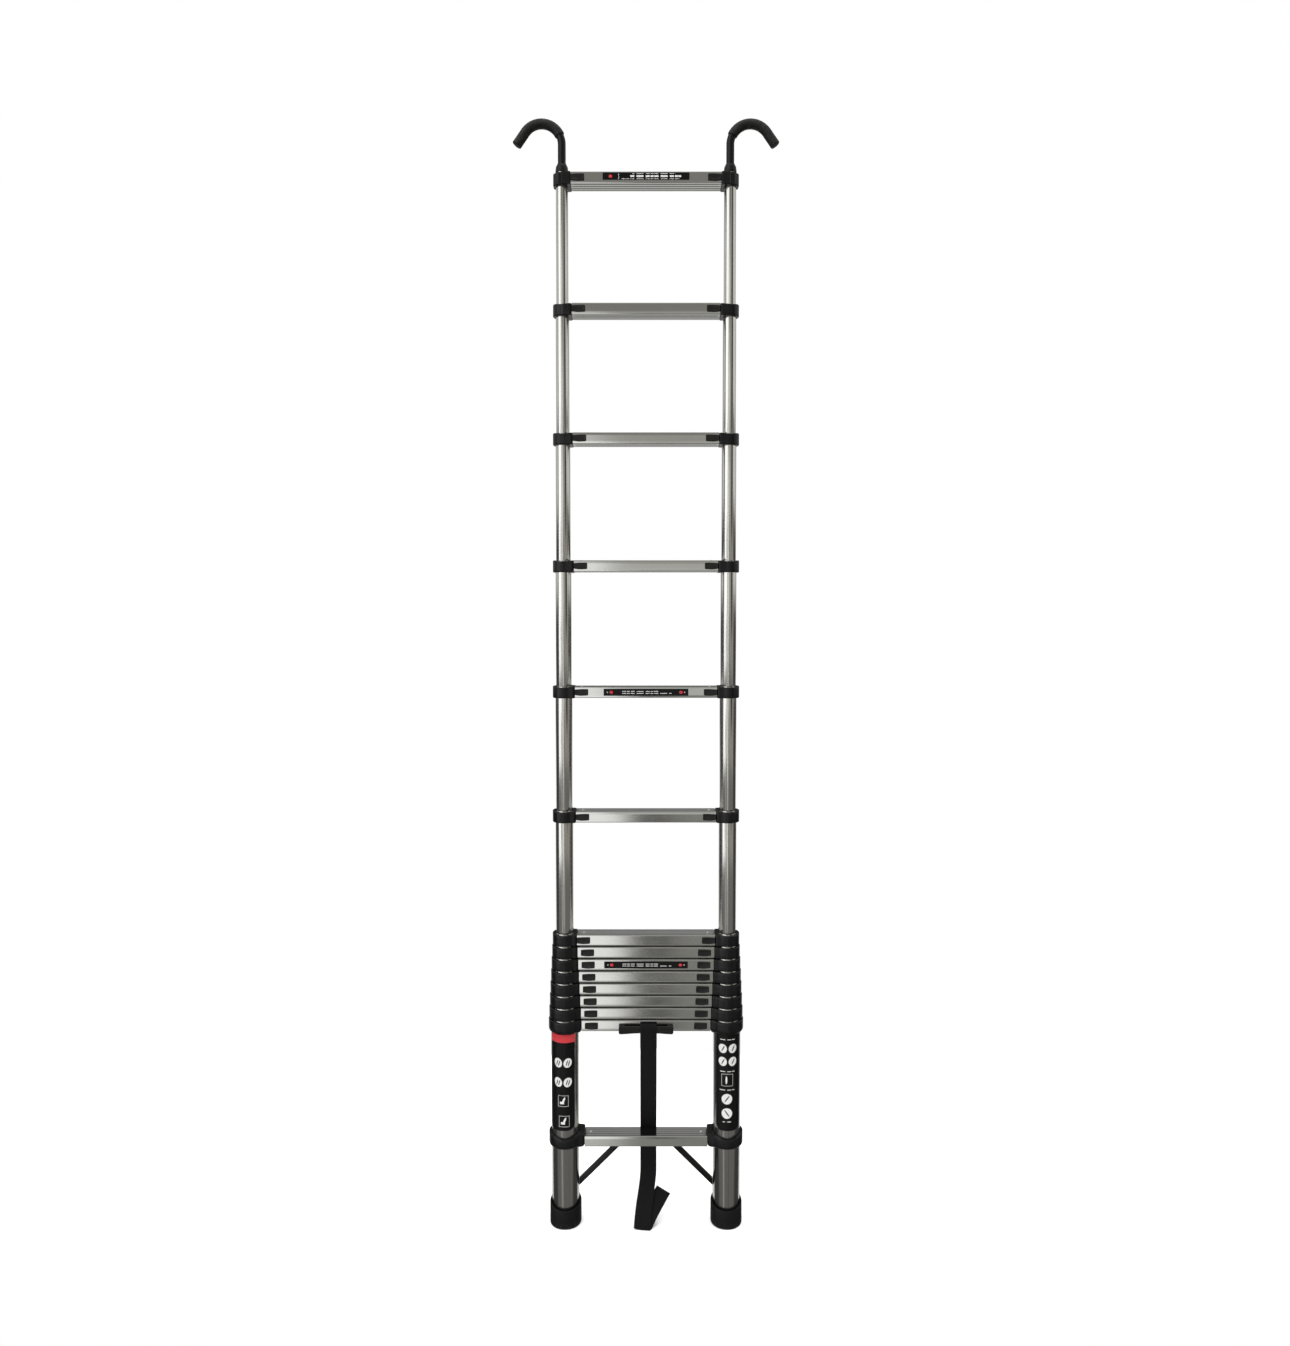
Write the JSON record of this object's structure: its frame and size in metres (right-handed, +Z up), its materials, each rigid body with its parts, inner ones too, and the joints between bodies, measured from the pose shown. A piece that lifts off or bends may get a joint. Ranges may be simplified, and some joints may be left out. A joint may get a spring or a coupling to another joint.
{
  "type": "telescopic ladder",
  "caption": "Free-standing telescopic ladder of nested tube sections with latched rungs, swivelling top hooks, rubber feet, a lower braced rung and a carry strap.",
  "frame": {"origin": "on the ground, midway between the two tubes", "axes": "+Z up along the tubes, +X to the right as a climber at the front sees it, +Y through the ladder from front to back"},
  "size_m": [0.624, 0.0809, 2.6535],
  "materials": {
    "steel": "brushed stainless tube",
    "section_steel": "brushed stainless tubes and rung with black plastic collars",
    "rung_metal": "brushed, ribbed tread",
    "collar_plastic": "black moulded",
    "latch_plastic": "black moulded",
    "handle_plastic": "black moulded",
    "foot_rubber": "black",
    "hook_paint": "black, with a foam sleeve over the bend",
    "brace_paint": "black satin",
    "strap_webbing": "black woven webbing"
  },
  "bodies": {
    "base": {"base_tube_left": "steel", "base_tube_right": "steel", "base_collar_left": "collar_plastic", "base_collar_right": "collar_plastic", "base_rung": "rung_metal", "lower_rung": "rung_metal", "lower_collar_left": "collar_plastic", "lower_collar_right": "collar_plastic", "foot_left": "foot_rubber", "foot_right": "foot_rubber", "brace_left": "brace_paint", "brace_right": "brace_paint", "carry_handle": "handle_plastic", "carry_strap": "strap_webbing"},
    "section_02_frame": {"section_02": "section_steel"},
    "section_03_frame": {"section_03": "section_steel"},
    "section_04_frame": {"section_04": "section_steel"},
    "section_05_frame": {"section_05": "section_steel"},
    "section_06_frame": {"section_06": "section_steel"},
    "section_07_frame": {"section_07": "section_steel"},
    "section_08_frame": {"section_08": "section_steel"},
    "section_09_frame": {"section_09": "section_steel"},
    "section_10_frame": {"section_10": "section_steel"},
    "section_11_frame": {"section_11": "section_steel"},
    "section_12_frame": {"section_12": "section_steel"},
    "section_13_frame": {"section_13": "section_steel"},
    "section_14_frame": {"section_14": "section_steel", "hook_socket_left": "collar_plastic", "hook_socket_right": "collar_plastic"},
    "hook_left_body": {"hook_left": "hook_paint"},
    "hook_right_body": {"hook_right": "hook_paint"},
    "latch_01_left_body": {"latch_01_left": "latch_plastic"},
    "latch_01_right_body": {"latch_01_right": "latch_plastic"},
    "latch_02_left_body": {"latch_02_left": "latch_plastic"},
    "latch_02_right_body": {"latch_02_right": "latch_plastic"},
    "latch_03_left_body": {"latch_03_left": "latch_plastic"},
    "latch_03_right_body": {"latch_03_right": "latch_plastic"},
    "latch_04_left_body": {"latch_04_left": "latch_plastic"},
    "latch_04_right_body": {"latch_04_right": "latch_plastic"},
    "latch_05_left_body": {"latch_05_left": "latch_plastic"},
    "latch_05_right_body": {"latch_05_right": "latch_plastic"},
    "latch_06_left_body": {"latch_06_left": "latch_plastic"},
    "latch_06_right_body": {"latch_06_right": "latch_plastic"},
    "latch_07_left_body": {"latch_07_left": "latch_plastic"},
    "latch_07_right_body": {"latch_07_right": "latch_plastic"},
    "latch_08_left_body": {"latch_08_left": "latch_plastic"},
    "latch_08_right_body": {"latch_08_right": "latch_plastic"},
    "latch_09_left_body": {"latch_09_left": "latch_plastic"},
    "latch_09_right_body": {"latch_09_right": "latch_plastic"},
    "latch_10_left_body": {"latch_10_left": "latch_plastic"},
    "latch_10_right_body": {"latch_10_right": "latch_plastic"},
    "latch_11_left_body": {"latch_11_left": "latch_plastic"},
    "latch_11_right_body": {"latch_11_right": "latch_plastic"},
    "latch_12_left_body": {"latch_12_left": "latch_plastic"},
    "latch_12_right_body": {"latch_12_right": "latch_plastic"},
    "latch_13_left_body": {"latch_13_left": "latch_plastic"},
    "latch_13_right_body": {"latch_13_right": "latch_plastic"},
    "latch_14_left_body": {"latch_14_left": "latch_plastic"},
    "latch_14_right_body": {"latch_14_right": "latch_plastic"}
  },
  "joints": [
    {"name": "section_02_slide", "type": "slide", "parent": "base", "child": "section_02_frame", "axis": [0, 0, 1], "range_m": [0, 0.27]},
    {"name": "section_03_slide", "type": "slide", "parent": "section_02_frame", "child": "section_03_frame", "axis": [0, 0, 1], "range_m": [0, 0.27]},
    {"name": "section_04_slide", "type": "slide", "parent": "section_03_frame", "child": "section_04_frame", "axis": [0, 0, 1], "range_m": [0, 0.27]},
    {"name": "section_05_slide", "type": "slide", "parent": "section_04_frame", "child": "section_05_frame", "axis": [0, 0, 1], "range_m": [0, 0.27]},
    {"name": "section_06_slide", "type": "slide", "parent": "section_05_frame", "child": "section_06_frame", "axis": [0, 0, 1], "range_m": [0, 0.27]},
    {"name": "section_07_slide", "type": "slide", "parent": "section_06_frame", "child": "section_07_frame", "axis": [0, 0, 1], "range_m": [0, 0.27]},
    {"name": "section_08_slide", "type": "slide", "parent": "section_07_frame", "child": "section_08_frame", "axis": [0, 0, 1], "range_m": [0, 0.27]},
    {"name": "section_09_slide", "type": "slide", "parent": "section_08_frame", "child": "section_09_frame", "axis": [0, 0, 1], "range_m": [-0.27, 0]},
    {"name": "section_10_slide", "type": "slide", "parent": "section_09_frame", "child": "section_10_frame", "axis": [0, 0, 1], "range_m": [-0.27, 0]},
    {"name": "section_11_slide", "type": "slide", "parent": "section_10_frame", "child": "section_11_frame", "axis": [0, 0, 1], "range_m": [-0.27, 0]},
    {"name": "section_12_slide", "type": "slide", "parent": "section_11_frame", "child": "section_12_frame", "axis": [0, 0, 1], "range_m": [-0.27, 0]},
    {"name": "section_13_slide", "type": "slide", "parent": "section_12_frame", "child": "section_13_frame", "axis": [0, 0, 1], "range_m": [-0.27, 0]},
    {"name": "section_14_slide", "type": "slide", "parent": "section_13_frame", "child": "section_14_frame", "axis": [0, 0, 1], "range_m": [-0.27, 0]},
    {"name": "hook_left_swivel", "type": "hinge", "parent": "section_14_frame", "child": "hook_left_body", "pos_m": [-0.1975, 0, 2.51], "axis": [0, 0, 1], "continuous": true},
    {"name": "hook_right_swivel", "type": "hinge", "parent": "section_14_frame", "child": "hook_right_body", "pos_m": [0.1975, 0, 2.51], "axis": [0, 0, 1], "continuous": true},
    {"name": "latch_01_left_slide", "type": "slide", "parent": "base", "child": "latch_01_left_body", "axis": [1, 0, 0], "range_m": [-0.008, 0], "stiffness_N_per_m": 300},
    {"name": "latch_01_right_slide", "type": "slide", "parent": "base", "child": "latch_01_right_body", "axis": [-1, 0, 0], "range_m": [-0.008, 0], "stiffness_N_per_m": 300},
    {"name": "latch_02_left_slide", "type": "slide", "parent": "section_02_frame", "child": "latch_02_left_body", "axis": [1, 0, 0], "range_m": [-0.008, 0], "stiffness_N_per_m": 300},
    {"name": "latch_02_right_slide", "type": "slide", "parent": "section_02_frame", "child": "latch_02_right_body", "axis": [-1, 0, 0], "range_m": [-0.008, 0], "stiffness_N_per_m": 300},
    {"name": "latch_03_left_slide", "type": "slide", "parent": "section_03_frame", "child": "latch_03_left_body", "axis": [1, 0, 0], "range_m": [-0.008, 0], "stiffness_N_per_m": 300},
    {"name": "latch_03_right_slide", "type": "slide", "parent": "section_03_frame", "child": "latch_03_right_body", "axis": [-1, 0, 0], "range_m": [-0.008, 0], "stiffness_N_per_m": 300},
    {"name": "latch_04_left_slide", "type": "slide", "parent": "section_04_frame", "child": "latch_04_left_body", "axis": [1, 0, 0], "range_m": [-0.008, 0], "stiffness_N_per_m": 300},
    {"name": "latch_04_right_slide", "type": "slide", "parent": "section_04_frame", "child": "latch_04_right_body", "axis": [-1, 0, 0], "range_m": [-0.008, 0], "stiffness_N_per_m": 300},
    {"name": "latch_05_left_slide", "type": "slide", "parent": "section_05_frame", "child": "latch_05_left_body", "axis": [1, 0, 0], "range_m": [-0.008, 0], "stiffness_N_per_m": 300},
    {"name": "latch_05_right_slide", "type": "slide", "parent": "section_05_frame", "child": "latch_05_right_body", "axis": [-1, 0, 0], "range_m": [-0.008, 0], "stiffness_N_per_m": 300},
    {"name": "latch_06_left_slide", "type": "slide", "parent": "section_06_frame", "child": "latch_06_left_body", "axis": [1, 0, 0], "range_m": [-0.008, 0], "stiffness_N_per_m": 300},
    {"name": "latch_06_right_slide", "type": "slide", "parent": "section_06_frame", "child": "latch_06_right_body", "axis": [-1, 0, 0], "range_m": [-0.008, 0], "stiffness_N_per_m": 300},
    {"name": "latch_07_left_slide", "type": "slide", "parent": "section_07_frame", "child": "latch_07_left_body", "axis": [1, 0, 0], "range_m": [-0.008, 0], "stiffness_N_per_m": 300},
    {"name": "latch_07_right_slide", "type": "slide", "parent": "section_07_frame", "child": "latch_07_right_body", "axis": [-1, 0, 0], "range_m": [-0.008, 0], "stiffness_N_per_m": 300},
    {"name": "latch_08_left_slide", "type": "slide", "parent": "section_08_frame", "child": "latch_08_left_body", "axis": [1, 0, 0], "range_m": [0, 0.008], "stiffness_N_per_m": 300},
    {"name": "latch_08_right_slide", "type": "slide", "parent": "section_08_frame", "child": "latch_08_right_body", "axis": [-1, 0, 0], "range_m": [0, 0.008], "stiffness_N_per_m": 300},
    {"name": "latch_09_left_slide", "type": "slide", "parent": "section_09_frame", "child": "latch_09_left_body", "axis": [1, 0, 0], "range_m": [0, 0.008], "stiffness_N_per_m": 300},
    {"name": "latch_09_right_slide", "type": "slide", "parent": "section_09_frame", "child": "latch_09_right_body", "axis": [-1, 0, 0], "range_m": [0, 0.008], "stiffness_N_per_m": 300},
    {"name": "latch_10_left_slide", "type": "slide", "parent": "section_10_frame", "child": "latch_10_left_body", "axis": [1, 0, 0], "range_m": [0, 0.008], "stiffness_N_per_m": 300},
    {"name": "latch_10_right_slide", "type": "slide", "parent": "section_10_frame", "child": "latch_10_right_body", "axis": [-1, 0, 0], "range_m": [0, 0.008], "stiffness_N_per_m": 300},
    {"name": "latch_11_left_slide", "type": "slide", "parent": "section_11_frame", "child": "latch_11_left_body", "axis": [1, 0, 0], "range_m": [0, 0.008], "stiffness_N_per_m": 300},
    {"name": "latch_11_right_slide", "type": "slide", "parent": "section_11_frame", "child": "latch_11_right_body", "axis": [-1, 0, 0], "range_m": [0, 0.008], "stiffness_N_per_m": 300},
    {"name": "latch_12_left_slide", "type": "slide", "parent": "section_12_frame", "child": "latch_12_left_body", "axis": [1, 0, 0], "range_m": [0, 0.008], "stiffness_N_per_m": 300},
    {"name": "latch_12_right_slide", "type": "slide", "parent": "section_12_frame", "child": "latch_12_right_body", "axis": [-1, 0, 0], "range_m": [0, 0.008], "stiffness_N_per_m": 300},
    {"name": "latch_13_left_slide", "type": "slide", "parent": "section_13_frame", "child": "latch_13_left_body", "axis": [1, 0, 0], "range_m": [0, 0.008], "stiffness_N_per_m": 300},
    {"name": "latch_13_right_slide", "type": "slide", "parent": "section_13_frame", "child": "latch_13_right_body", "axis": [-1, 0, 0], "range_m": [0, 0.008], "stiffness_N_per_m": 300},
    {"name": "latch_14_left_slide", "type": "slide", "parent": "section_14_frame", "child": "latch_14_left_body", "axis": [1, 0, 0], "range_m": [0, 0.008], "stiffness_N_per_m": 300},
    {"name": "latch_14_right_slide", "type": "slide", "parent": "section_14_frame", "child": "latch_14_right_body", "axis": [-1, 0, 0], "range_m": [0, 0.008], "stiffness_N_per_m": 300}
  ]
}
